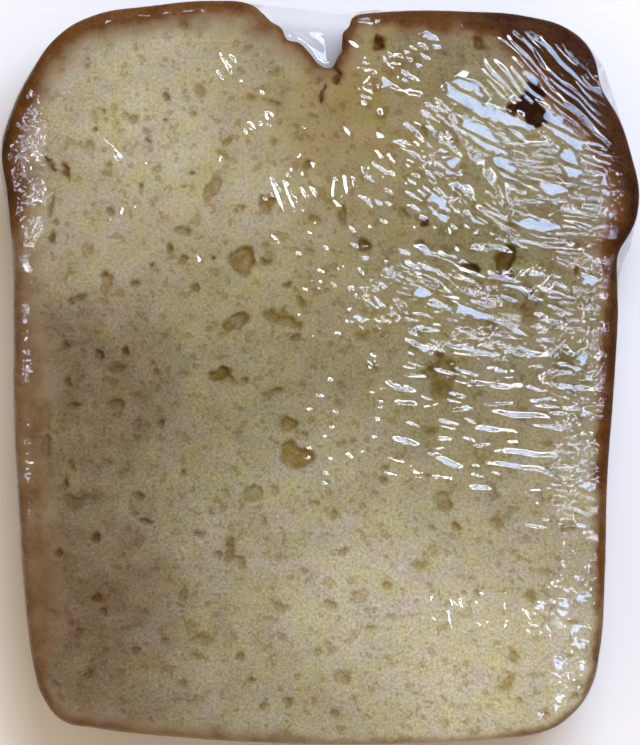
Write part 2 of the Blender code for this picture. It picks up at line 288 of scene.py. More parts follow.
cake = {
    "gap": 0.16,  # between film and cake, at the sides
    "step": 0.42,  # cells of its faces
    "edgeRadius": 1.5,
    "wallRings": 20,
    "low": 0.40,  # its cut faces, above the floor
    "high": boxHigh[2] - 0.58,
    "triangles": 192000,
    # waves of its cut faces, its wall and the inner rim of its crust: size, height and start of the noise
    "grain": [(0.8, 0.06, 0), (0.4, 0.03, 7)],
    "wallLumps": [(5.0, 0.22, 3), (1.6, 0.11, 5)],
    "bandRagged": [(2.2, 0.55, 11), (0.9, 0.35, 13)],
    # where the crust is drawn in under the film, in hollows and at the split's right lip: x, y, reach
    # along the outline, depth
    "hollows": [
        (37.6, 38, 3.6, 1), (40.6, 15.6, 2.6, 0.9), (-41.8, 24, 5, 0.3), (6.4, 47.6, 2.8, 0.35),
    ],
    "crackWidth": 0.5,
    "crackDepth": 1.0,
    # how dark the crack is painted: crust brown and painted shade in the narrow groove
    "crackShadeAndBrown": 0.66,
    "crack": [(1.4, 40.4), (2.7, 39.2), (2.4, 38.0), (0.8, 37.7), (0.2, 36.5), (0.1, 35.3)],
    # dark pocket that runs in under the right shoulder, its darkness crust brown and painted shade: x, y,
    # length, width, turn, depth
    "pocket": [
        (27.4, 35.6, 5.4, 3.4, 36, 1.2), (28.3, 34.2, 4.4, 3, 80, 1), (26.2, 34.8, 3.4, 2, 20, 0.9),
    ],
    # how dark the pocket is painted: crust brown and painted shade of the hollow under the shoulder
    "pocketShadeAndBrown": 0.60,
    # large pores, where the solid has them, in the same terms
    "largePores": [
        (7.7, 42.9, 1.9, 1.6, 60, 1.2), (-14.1, 24.2, 4.8, 1.7, 60, 0.8), (-7.2, 22.1, 2.6, 2.3, 0, 1.1),
        (-10.2, 14.7, 3.7, 2.9, 70, 1.1), (-28, 11.6, 2.9, 1.4, 75, 0.7), (-11.1, 6.6, 3.6, 1.8, 32, 1.1),
        (-5.2, 7.1, 4.8, 1.9, -18, 0.9), (-13, -0.2, 3.3, 1.4, 22, 1.3), (-26.6, -4.1, 2, 1.7, 20, 0.8),
        (-36.1, -6.2, 4.4, 1.5, 88, 0.6), (-4.1, -6.8, 2.2, 2, 0, 0.9), (-3.1, -10.8, 4.2, 3.3, -15, 1.1),
        (-8.5, -15.8, 2.7, 2.3, 0, 0.7), (-32.2, -17, 2.7, 2.2, 10, 0.6),
        (-11.9, -24.2, 2.1, 1.8, 80, 0.7), (-18, -29.1, 2.3, 1.6, 60, 0.6),
        (-15.7, -35.2, 3.3, 1.8, 0, 0.6), (-30.4, -39.5, 1.8, 1.4, 60, 0.7),
        (24.3, 14.4, 4.7, 2.5, 80, 2), (19.9, 13.7, 2.2, 1.9, 0, 1.8), (27.4, 8.8, 5.6, 2.1, 94, 1),
        (15.9, -0.7, 6, 3.1, 75, 1), (22.3, 5.5, 2.1, 1.6, 0, 0.8), (32.2, 1.5, 3.7, 2.4, 80, 0.6),
        (16.1, -16.9, 2.8, 2.4, 40, 0.8), (23.1, -19.7, 2, 1.8, 0, 0.8), (12.8, -25.4, 2.3, 1.6, 20, 0.5),
        (27.7, -29.5, 1.7, 1.6, 0, 0.7), (3.1, -39.9, 2.7, 2.1, 0, 0.5), (24.4, -40.9, 3.2, 1.4, 50, 0.7),
        (4.9, -29.5, 2.6, 1.6, 15, 0.4),
    ],
    "largeDepth": 0.55,  # how much of a large pore's depth shows: its floor is soft crumb
    "poreRim": 0.4,  # how soft the rim of its darker colour is: ochre lining and painted shade
    "poreRagged": 0.42,  # how far its outline wanders, as a share of its width
    "poreFine": 0.8,  # the cells are halved in an oval that is so much longer and wider
    # pores and slits between them, too slight for the solid
    "mediumPores": [
        (-35.5, 27.3, 2.6, 0.8, -53, 0.8), (-33.3, 26.5, 2.6, 0.8, -68, 0.8),
        (-35.3, 21.7, 3.1, 0.6, 80, 0.7), (-35.1, 17.6, 2, 0.8, 80, 0.7), (-17.9, 18.6, 2.3, 1.1, 0, 0.5),
        (-28.1, 12.8, 1.6, 1.2, 30, 0.6), (-24.5, 33.2, 1.3, 1, 0, 0.6), (-27.6, 27.1, 1.2, 0.7, 70, 0.5),
        (-20.1, 36.4, 1.2, 0.9, 90, 0.6), (-27.6, 21.1, 1.3, 0.9, 20, 0.5),
        (-19.7, 16.2, 1.4, 0.9, 100, 0.6), (-7.2, 14.5, 1.4, 1, 10, 0.5), (-10.4, 21.6, 1.2, 0.9, 0, 0.5),
        (-24.3, 11.6, 1.3, 0.9, 0, 0.5), (-16.3, 11.2, 1.3, 0.9, 60, 0.5), (-3.2, 4.5, 1.3, 0.9, 20, 0.5),
        (-28.8, 2.4, 1.4, 1, 120, 0.6), (-25.5, 2.9, 1.5, 0.8, 80, 0.7), (-26.6, 0.5, 2.6, 0.8, 5, 0.5),
        (-9.9, -1.1, 1.4, 0.9, 30, 0.5), (-5.5, -2.4, 1.3, 0.9, 0, 0.5), (-23.9, -16.1, 1.6, 1.3, 0, 0.5),
        (-29.3, -21.6, 1.6, 1, 80, 0.6), (-11.8, -22.3, 1.6, 1, 70, 0.7), (-29.2, -29.6, 1.4, 1, 0, 0.6),
        (-20.8, -6.7, 1.2, 0.7, 90, 0.6), (-33.3, -14.5, 1.4, 0.6, 85, 0.7),
        (-17.9, -13.2, 1, 0.7, 90, 0.6), (-22.9, -19.5, 1.8, 0.7, 165, 0.6),
        (-15.9, -21.2, 1.6, 0.6, 0, 0.6), (-35.9, -9.6, 3.6, 0.8, 88, 0.6),
        (-34.2, -23.6, 1.6, 1, 70, 0.6), (20.8, 43.1, 1.8, 1.2, 120, 0.7), (-33, -1.2, 1.4, 0.5, 95, 0.6),
        (-32.2, -4.3, 1.8, 0.5, 10, 0.6), (1.7, -18.7, 1.3, 0.9, 60, 0.5),
        (17.8, -20.3, 1.4, 0.9, 120, 0.5), (20.5, -29, 1.4, 0.7, 100, 0.5), (5.7, 16.7, 1.9, 1.3, 0, 0.9),
        (3, 20.6, 3.4, 1, 85, 0.5), (-4.3, 11.4, 1.2, 0.8, 40, 0.6), (-1.6, 27.2, 1.3, 1, 20, 0.6),
        (13, 16.6, 1.8, 1.3, 0, 0.5), (-22.6, 30.4, 1, 0.8, 0, 0.5), (-31.5, 9.8, 1.5, 0.9, 30, 0.5),
        (-32.7, 9.3, 1.3, 0.9, 0, 0.5), (8.4, -12.6, 1.2, 0.9, 30, 0.5), (6.6, -33.6, 1.3, 0.8, 0, 0.4),
        (-5.6, -30.6, 1.2, 0.9, 60, 0.4), (-24, -36.5, 1.4, 0.9, 20, 0.5), (-9, -40.5, 1.3, 0.9, 0, 0.4),
        (-16.6, 33.8, 1.1, 0.8, 100, 0.5), (-29.6, 31.8, 0.7, 0.6, 0, 0.7), (-20.2, 33, 0.7, 0.6, 0, 0.7),
        (-16.9, 26.1, 0.8, 0.6, 0, 0.7), (-17.9, 24.3, 0.6, 0.5, 0, 0.7), (-11, 21.2, 0.7, 0.6, 0, 0.7),
        (-17.5, 15, 0.6, 0.5, 0, 0.8), (-14, 15, 0.7, 0.5, 60, 0.8), (-22, 14, 0.9, 0.5, 80, 0.7),
        (-23.5, 24.3, 1.7, 0.5, 85, 0.7), (-22.1, 22, 1.3, 0.5, -60, 0.6),
        (-28.4, 34.2, 0.6, 0.5, 0, 0.7),
    ],
    "smallPores": {"cell": 3.3, "half": (0.20, 0.60), "seed": 21},
    "backPores": {"cell": 4.2, "half": (0.25, 1.4), "seed": 33},
    # how the crust is baked along the outline: x, y, width of the brown band, how even and sharp the
    # band is, from 0 to 1, and how dark its rim is
    "baking": [
        (-36, 42, 5.2, 0, 0.62), (-20, 48, 5.4, 0, 0.64), (-9, 48, 6.2, 0, 0.55), (-3, 43, 3.6, 0, 0.50),
        (1, 41, 2.6, 0, 0.48), (3.5, 44, 3.4, 0.1, 0.54), (14, 47.4, 4.2, 0.4, 0.68),
        (21, 47, 3.9, 0.7, 0.80), (29, 46, 8, 1, 0.90), (33.5, 42, 12.5, 1, 0.87), (37, 37, 9, 0.9, 0.87),
        (40, 31, 6.4, 0.4, 0.89), (42, 23, 5.2, 0.1, 0.93), (39.5, 9, 3, 0.3, 0.82),
        (38.5, -5, 3, 0.3, 0.78), (37.7, -22, 2.6, 0.2, 0.60), (37, -34, 2, 0.2, 0.48),
        (34, -43.5, 1.6, 0.2, 0.46), (15, -49, 1.1, 0.2, 0.26), (-15, -48.5, 2.4, 0.2, 0.30),
        (-34, -45, 2.6, 0.2, 0.40), (-39, -30, 6.2, 0.7, 0.38), (-40.4, -5, 6.4, 0.7, 0.35),
        (-40.5, 12, 4.8, 0.1, 0.40), (-42, 28, 5.4, 0, 0.76),
    ],
    "bakingReach": 3.0,  # how far apart these rows are blended
    "wallBrown": 0.56,  # the walls are baked at least so much
    # small spots of darker crumb: browned specks, and painted shade in some pores and in the slit under the
    # crack: x, y, length, width, turn, darkness
    "darkSpots": [
        (7.9, 43.2, 2.3, 1.1, -60, 0.95), (7.4, 42.6, 1.5, 1, 20, 0.8), (13.8, 19.6, 1.6, 1.4, 60, 1),
        (15.7, 2.4, 2, 1.1, -20, 0.6), (23.6, 12.8, 2.2, 1.2, 10, 0.7), (33.6, 13.4, 1.5, 1.2, 70, 0.7),
        (30.4, -0.9, 1.8, 1.3, 80, 0.4), (-10.6, 5.2, 1.9, 0.8, 30, 0.5), (20.8, 43, 2, 1.4, 120, 0.5),
        (1.2, 39.2, 3.6, 2.2, -25, 0.46), (2.3, 38.7, 1.8, 1.1, 50, 0.66),
        (-0.3, 38.2, 1.4, 0.9, 60, 0.56), (0.15, 36.1, 2.1, 0.8, 82, 0.95),
    ],
    # how moist the crumb is and how much shade is painted on it, one share for both, and how brown or ochre
    # it is there, from 0 to 1
    "crumbTone": [
        (-22, 32, 0.18, 0.3, 0.3), (-8, 27, 0.25, 0.2, 0.3), (-30, 18, 0.48, 0.6, 0.4),
        (-35, 39, 0.42, 0.9, 0.2), (-21, 43, 0.36, 0.6, 0.3), (-41, 28, 0.62, 1, 0),
        (-8, 43, 0.52, 0.8, 0.3), (15, 42, 0.95, 0.5, 0), (-2, 31, 0.85, 0, 1), (5, 33.5, 0.90, 0, 0.9),
        (1.5, 36, 0.90, 0, 1), (10, 27, 0.84, 0, 0.25), (24, 34, 0.76, 0.1, 0), (22, 17, 1.00, 0, 0),
        (37, 20, 0.92, 0.6, 0), (-10, 12, 0.66, 0, 0.3), (-37, 4, 0.98, 1, 0), (-26, -2, 1.00, 0.7, 0),
        (-10, -2, 0.84, 0.1, 0), (4, 2, 0.84, 0, 0.2), (20, -1, 0.88, 0.1, 0.1), (34, 0, 0.84, 0.4, 0),
        (-36, -30, 1.00, 1, 0), (-26, -30, 1.00, 0.9, 0), (-12, -24, 0.62, 0.2, 0),
        (0, -14, 0.50, 0.1, 0), (4, -30, 0.10, 0.1, 0), (20, -38, 0.00, 0, 0), (32, -20, 0.50, 0.3, 0),
        (-12, -42, 0.62, 0.3, 0), (30, -42, 0.14, 0.3, 0), (-22, -47, 0.90, 0.9, 0),
        (-2, -47, 0.55, 0.5, 0),
    ],
    "toneReach": 8.0,
}


# A pore at random in each cell of a grid, in the terms of largePores. Most of them are small
def scatterPores(cell, half, seed):
    draw = random.Random(seed)
    for row in range(int((boxHigh[1] - boxLow[1]) / cell) + 1):
        for column in range(int((boxHigh[0] - boxLow[0]) / cell) + 1):
            x = boxLow[0] + (column + draw.random()) * cell
            y = boxLow[1] + (row + draw.random()) * cell
            width = 2 * (half[0] + (half[1] - half[0]) * draw.random() ** 3)
            yield x, y, width * draw.uniform(1, 1.9), width, draw.uniform(0, 180), 0.34 * width


def frontPores():
    shown = [(*pore[:5], pore[5] * cake["largeDepth"]) for pore in cake["largePores"]]
    return shown + cake["mediumPores"] + list(scatterPores(**cake["smallPores"]))


# At each place: how deep the pores are, and how dark one makes it, from 0 on the cut face to 1 or 2
def poreDepth(places, pores):
    depths = np.zeros(len(places))
    share = np.zeros(len(places))
    for x, y, length, width, turn, depth in pores:
        near = np.flatnonzero((abs(places[:, 0] - x) < length) & (abs(places[:, 1] - y) < length))
        if not len(near):
            continue
        spots = places[near, :2]
        warp = [noise.noise_vector(Vector((*spot, depth)) / (0.5 * width + 0.3))[:2] for spot in spots]
        u, v = turned(spots + cake["poreRagged"] * width * np.array(warp), x, y, turn)
        away = np.hypot(u / (length / 2), v / (width / 2))
        depths[near] = np.maximum(depths[near], depth * np.clip((1.15 - away) / 0.5, 0, 1))
        # deeper pores are painted darker: painted shade on top of the lining's ochre
        dark = min(1, width / 1.1) * min(max(depth / 0.6, 0.6), 1.8)
        rim = np.clip(0.5 + (1 - away) * width / 2 / cake["poreRim"], 0, 1)
        share[near] = np.maximum(share[near], rim * dark)
    return depths, share


# How near each place is to the crack, from 0 to 1 on its line. The crack narrows downwards
def crackShare(places):
    away, along = lineDistance(places, cake["crack"])
    return np.clip(1 - away / (cake["crackWidth"] * (1 - 0.6 * along)), 0, 1)


# The cake's own outline: the split is open, and the hollows that the film spans are drawn in
def cakeOutline():
    polygon = smoothOutline(sliceShape["split"] + sliceShape["outline"][sliceShape["filmRun"]:])
    forward = np.roll(polygon, -1, axis=0) - np.roll(polygon, 1, axis=0)
    forward /= np.linalg.norm(forward, axis=1)[:, None]
    inwards = np.column_stack([-forward[:, 1], forward[:, 0]])
    for x, y, reach, depth in cake["hollows"]:
        away = np.hypot(polygon[:, 0] - x, polygon[:, 1] - y)
        polygon = polygon + inwards * (depth * np.exp(-(away / reach) ** 2))[:, None]
    return polygon


def makeCake():
    outline = cakeOutline()
    pores = frontPores()
    work = sheetFromOutline(outline, cake["gap"], cake["step"])
    slabFromSheet(work, cake["wallRings"])
    places = readPlaces(work)
    more = cake["poreFine"]
    wide = [(x, y, length + more, width + more, turn, depth) for x, y, length, width, turn, depth in pores]
    wide += cake["pocket"] + cake["darkSpots"]
    refineFront(work, (poreDepth(places, wide)[1] > 0.1) | (crackShare(places) > 0))
    part, places = readParts(work), readPlaces(work)
    roundRims(places, part, outline, cake["gap"], cake["edgeRadius"], cake["low"], cake["high"])
    front, back = part == 1, part == 0
    depths, _ = poreDepth(places, pores + cake["pocket"])
    depths = np.maximum(depths, cake["crackDepth"] * crackShare(places))
    backDepths, _ = poreDepth(places, list(scatterPores(**cake["backPores"])))
    grain = noiseAt(places, *cake["grain"])
    places[:, 2] += np.where(front, grain - depths, 0) - np.where(back, grain - backDepths, 0)
    _, inwards = insideDistance(places, outline)
    lumps = np.abs(noiseAt(places, *cake["wallLumps"]))
    places[:, :2] += inwards * np.where(front | back, 0, lumps)[:, None]
    writePlaces(work, places)
    made = finishMesh("cake_slice", work, cake["triangles"])
    paintCake(made.data, outline, pores)
    return made


# What the cake's material reads: how baked it is, with painted shade in the pocket, crack and some spots;
# how moist, with painted shade; how brown and ochre; and how deep in a pore, which darkens it with ochre
# and painted shade
def paintCake(mesh, outline, pores):
    places = np.array([vertex.co for vertex in mesh.vertices]) / mm
    inside, _ = insideDistance(places, outline)
    ragged = noiseAt(places, *cake["bandRagged"])
    inside = np.maximum(inside - cake["gap"] + ragged * np.clip(inside, 0, 1), 0)
    band, firm, dark = blendRows(places, cake["baking"], cake["bakingReach"]).T
    # the moist share also holds the shade painted on the crumb
    moist, brown, ochre = blendRows(places, cake["crumbTone"], cake["toneReach"]).T
    front = places[:, 2] > boxHigh[2] / 2
    # a pore's darkness: ochre lining, and painted shade the deeper it is
    _, share = poreDepth(places, pores)
    _, pocket = poreDepth(places, cake["pocket"])
    baked = dark * np.clip((1.15 + firm) * (1 - inside / band), 0, 1)
    wall = np.clip((cake["high"] - places[:, 2]) / cake["edgeRadius"] - 0.5, 0, 1)
    wall *= np.clip(1.5 - inside, 0, 1)
    baked = np.maximum(baked, cake["wallBrown"] * wall)
    # painted shade in the pocket, the crack and the dark spots, with their crust brown, goes into the baked
    # value
    inner = np.maximum(cake["pocketShadeAndBrown"] * pocket, cake["crackShadeAndBrown"] * crackShare(places))
    for *spot, darkness in cake["darkSpots"]:
        inner = np.maximum(inner, darkness * poreDepth(places, [(*spot, 0.5)])[1])
    addAttribute(mesh, "baked", np.maximum(baked, inner * front))
    addAttribute(mesh, "moist", moist)
    addAttribute(mesh, "brown", brown)
    addAttribute(mesh, "ochre", ochre)
    addAttribute(mesh, "inPore", share * front)


def toLinear(hexColour):
    channels = [int(hexColour[k:k + 2], 16) / 255 for k in (1, 3, 5)]
    return (*(c / 12.92 if c <= 0.04045 else ((c + 0.055) / 1.055) ** 2.4 for c in channels), 1.0)


# Adds a node: settings go to its properties or else to its inputs, and links join outputs to its inputs
def addNode(material, kind, settings=None, links=None):
    node = material.node_tree.nodes.new(kind)
    for name, value in (settings or {}).items():
        if isinstance(name, str) and hasattr(node, name):
            setattr(node, name, value)
        else:
            node.inputs[name].default_value = value
    for socket, source in (links or {}).items():
        material.node_tree.links.new(source, node.inputs[socket])
    return node


# An empty material, and what adds a node to it and gives one of the node's outputs
def newMaterial(name):
    material = bpy.data.materials.new(name)
    material.use_nodes = True
    material.node_tree.nodes.clear()

    def add(kind, settings=None, links=None, output=0):
        return addNode(material, kind, settings, links).outputs[output]

    return material, add


crumbLook = {
    "pale": "#cdc4a2",
    "moist": "#837a50",  # the colour where the crumb is moist, and of the shade painted on it
    "brown": "#745c42",
    "ochre": "#927835",
    "cloud": 3.4,  # sizes of the moist clouds and of the grain, in mm
    "grain": 0.38,
    "tintCloud": 3.0,  # size of patches of slightly other colour, and how much red, green and blue vary
    "tints": (0.16, 0.09, 0.80),
    "shade": 0.47,  # how much the grain lightens and darkens
    "calm": 0.7,  # how much less where the crumb is ochre
    "cavity": 1.9,  # size of the shallow hollows
    "specks": [(1.9, 0.5), (0.9, 0.3)],  # the finest pores: how far apart, and how dark, the darkness painted shade in them
    "speckWobble": (0.7, 1.0),  # size of the waves that bend their pattern, and how far
    "hollow": (0.62, 0.68, 0.5),  # the cavity noise at a hollow's rim and floor, and how dark the floor is painted, as painted shade
    "cloudiness": 0.08,  # how much the clouds change how moist and shaded it is
    "mottle": (0.55, 1.3),  # how weak and how strong a pore's darker colour gets in places
    "crustRough": 0.2,  # how much the grain changes how baked the crust looks
    "cover": (0.03, 0.5),  # the baked value, with its painted shade, where crust colour begins to show, and where no crumb shows any more
    "bump": (0.7, 0.16),  # strength, and how deep a pore is
    "grainRise": 0.45,  # how high the grain stands in those terms
    "roughness": (0.72, 0.55),  # of crumb and crust
    # greasy film lies on the crust, which so has no surface of its own to mirror with
    "specular": (0.35, 0.06),
    "ramps": {
        # a pore takes this much of the crumb's colour away, the deeper the more: its ochre lining, and
        # painted shade in the deeper ones
        "pore": [(0.0, "#ffffff"), (0.5, "#cfb670"), (1.0, "#b58e3c")],
        "crust": [
            (0.0, "#a08a67"), (0.3, "#826443"), (0.45, "#704f2f"), (0.6, "#643e18"), (0.8, "#4c2d13"),
            (1.0, "#2f1508"),
        ],
    },
}


# Baked sponge cake: flour, egg and butter set by heat and cut with a knife. Fine cells give a mottled
# matt crumb, egg skins line the pores with ochre, painted shade darkens the deeper pores, the pocket,
# the crack and the moist patches, and sugar browns the outer crust
def crumbMaterial():
    look = crumbLook
    material, add = newMaterial("baked sponge crumb and crust")
    place = {"Vector": add("ShaderNodeTexCoord", output="Object")}
    baked, moist, brown, ochre, inPore = (
        add("ShaderNodeAttribute", {"attribute_name": name}, output="Fac")
        for name in ("baked", "moist", "brown", "ochre", "inPore")
    )
    cloud = add("ShaderNodeTexNoise", {"Scale": 1 / (look["cloud"] * mm), "Detail": 2.5}, place)
    settings = {"Scale": 1 / (look["grain"] * mm), "Detail": 3.0, "Roughness": 0.68}
    grain = add("ShaderNodeTexNoise", settings, place)
    # pores: where a coarse noise is high, near the points of two scattered sets, and where the mesh has
    # one; their darkness is partly painted shade
    settings = {"Scale": 1 / (look["cavity"] * mm), "Detail": 2.0, "Distortion": 0.4}
    cavity = add("ShaderNodeTexNoise", settings, place)
    rim, floor, dark = look["hollow"]
    settings = {"From Min": rim, "From Max": floor, "To Max": dark}
    pores = add("ShaderNodeMapRange", settings, {"Value": cavity})
    size, reach = look["speckWobble"]
    wobble = add("ShaderNodeTexNoise", {"Scale": 1 / (size * mm), "Detail": 1.0}, place, "Color")
    settings = {"operation": "MULTIPLY_ADD", 1: [reach * mm] * 3}
    bent = add("ShaderNodeVectorMath", settings, {0: wobble, 2: place["Vector"]})
    for apart, darkness in look["specks"]:
        away = add("ShaderNodeTexVoronoi", {"Scale": 1 / (apart * mm)}, {"Vector": bent}, "Distance")
        away = add("ShaderNodeMath", {"operation": "MULTIPLY_ADD", 1: -0.5}, {0: cloud, 2: away})
        settings = {"From Min": 0.0, "From Max": -0.1, "To Max": darkness}
        speck = add("ShaderNodeMapRange", settings, {"Value": away})
        pores = add("ShaderNodeMath", {"operation": "MAXIMUM"}, {0: pores, 1: speck})
    weak, strong = look["mottle"]
    settings = {"From Min": 0.35, "From Max": 0.65, "To Min": weak, "To Max": strong}
    mottle = add("ShaderNodeMapRange", settings, {"Value": cavity})
    inPore = add("ShaderNodeMath", {"operation": "MULTIPLY"}, {0: inPore, 1: mottle})
    pores = add("ShaderNodeMath", {"operation": "MAXIMUM"}, {0: pores, 1: inPore})
    halfPores = add("ShaderNodeMath", {"operation": "MULTIPLY", 1: 0.5}, {0: pores})

    # crumb: pale to moist, with painted shade in the same colour, the moist part brown or ochre, each with
    # its clouds
    change = look["cloudiness"]
    settings = {"From Min": 0.3, "From Max": 0.7, "To Min": -change, "To Max": change}
    cloudy = add("ShaderNodeMapRange", settings, {"Value": cloud})
    settings = {"data_type": "RGBA", 6: toLinear(look["moist"]), 7: toLinear(look["brown"])}
    dampAndShadeColour = add("ShaderNodeMix", settings, {0: brown}, 2)
    dampAndShadeColour = add("ShaderNodeMix", {"data_type": "RGBA", 7: toLinear(look["ochre"])}, {0: ochre, 6: dampAndShadeColour}, 2)
    dampnessAndShade = add("ShaderNodeMath", {"operation": "ADD", "use_clamp": True}, {0: moist, 1: cloudy})
    settings = {"data_type": "RGBA", 6: toLinear(look["pale"])}
    crumb = add("ShaderNodeMix", settings, {0: dampnessAndShade, 7: dampAndShadeColour}, 2)
    settings = {"Scale": 1 / (look["tintCloud"] * mm), "Detail": 1.0}
    tint = add("ShaderNodeTexNoise", settings, place, "Color")
    least = [1 - share / 2 for share in look["tints"]]
    settings = {"operation": "MULTIPLY_ADD", 1: look["tints"], 2: least}
    tint = add("ShaderNodeVectorMath", settings, {0: tint})
    crumb = add("ShaderNodeVectorMath", {"operation": "MULTIPLY"}, {0: crumb, 1: tint})

    # the crust's colour breaks up along the grain
    rough = add("ShaderNodeMath", {"operation": "ADD"}, {0: grain, 1: cloud})
    change = look["crustRough"]
    settings = {"From Min": 0.6, "From Max": 1.4, "To Min": -change, "To Max": change}
    rough = add("ShaderNodeMapRange", settings, {"Value": rough})
    browned = add("ShaderNodeMath", {"operation": "ADD"}, {0: baked, 1: rough})
    ramps = {}
    for name, factor in (("pore", halfPores), ("crust", browned)):
        ramp = addNode(material, "ShaderNodeValToRGB", links={"Fac": factor})
        for _ in look["ramps"][name][2:]:
            ramp.color_ramp.elements.new(0.5)
        for stop, (position, colour) in zip(ramp.color_ramp.elements, look["ramps"][name]):
            stop.position = position
            stop.color = toLinear(colour)
        ramps[name] = ramp.outputs["Color"]
    crumb = add("ShaderNodeVectorMath", {"operation": "MULTIPLY"}, {0: crumb, 1: ramps["pore"]})
    settings = {"From Min": 0.2, "From Max": 0.8, "To Min": 1 - look["shade"], "To Max": 1 + look["shade"]}
    shade = add("ShaderNodeMapRange", settings, {"Value": grain})
    calm = add("ShaderNodeMath", {"operation": "MULTIPLY", 1: look["calm"]}, {0: ochre})
    shade = add("ShaderNodeMix", {3: 1.0}, {0: calm, 2: shade})
    crumb = add("ShaderNodeVectorMath", {"operation": "SCALE"}, {0: crumb, "Scale": shade})
    begins, full = look["cover"]
    cover = add("ShaderNodeMapRange", {"From Min": begins, "From Max": full}, {"Value": baked})
    colour = add("ShaderNodeMix", {"data_type": "RGBA"}, {0: cover, 6: crumb, 7: ramps["crust"]}, 2)

    raised = add("ShaderNodeMath", {"operation": "MULTIPLY", 1: look["grainRise"]}, {0: grain})
    height = add("ShaderNodeMath", {"operation": "SUBTRACT"}, {0: raised, 1: pores})
    strength, deep = look["bump"]
    bump = add("ShaderNodeBump", {"Strength": strength, "Distance": deep * mm}, {"Height": height})
    roughness, specular = (
        add("ShaderNodeMapRange", {"To Min": look[name][0], "To Max": look[name][1]}, {"Value": cover})
        for name in ("roughness", "specular")
    )
    links = {"Base Color": colour, "Normal": bump, "Roughness": roughness, "Specular IOR Level": specular}
    shader = add("ShaderNodeBsdfPrincipled", {"IOR": 1.45}, links)
    addNode(material, "ShaderNodeOutputMaterial", links={"Surface": shader})
    return material


# Camera and lamps are placed in metres
studio = {
    "cameraAt": (0.0, 0.0, 0.60),
    "frameHeight": 98.0,  # what the frame's height takes in, at the height of the widest outline
    "outlineHeight": 17.4,
    "lampAt": (0.11, 0.21, 0.60),
    "lampSize": (0.34, 0.06),
    "lampWatts": 1.7,
    "lampTint": "#eaf0ff",
    "windowAt": (0.20, 0.37, 0.50),
    "windowSize": (0.36, 0.20),
    "windowWatts": 2.3,
    "windowTint": "#accdff",
    "roomLight": 0.64,
    "roomTint": "#ffe9cb",
    "floor": "#f7f6f4",
}


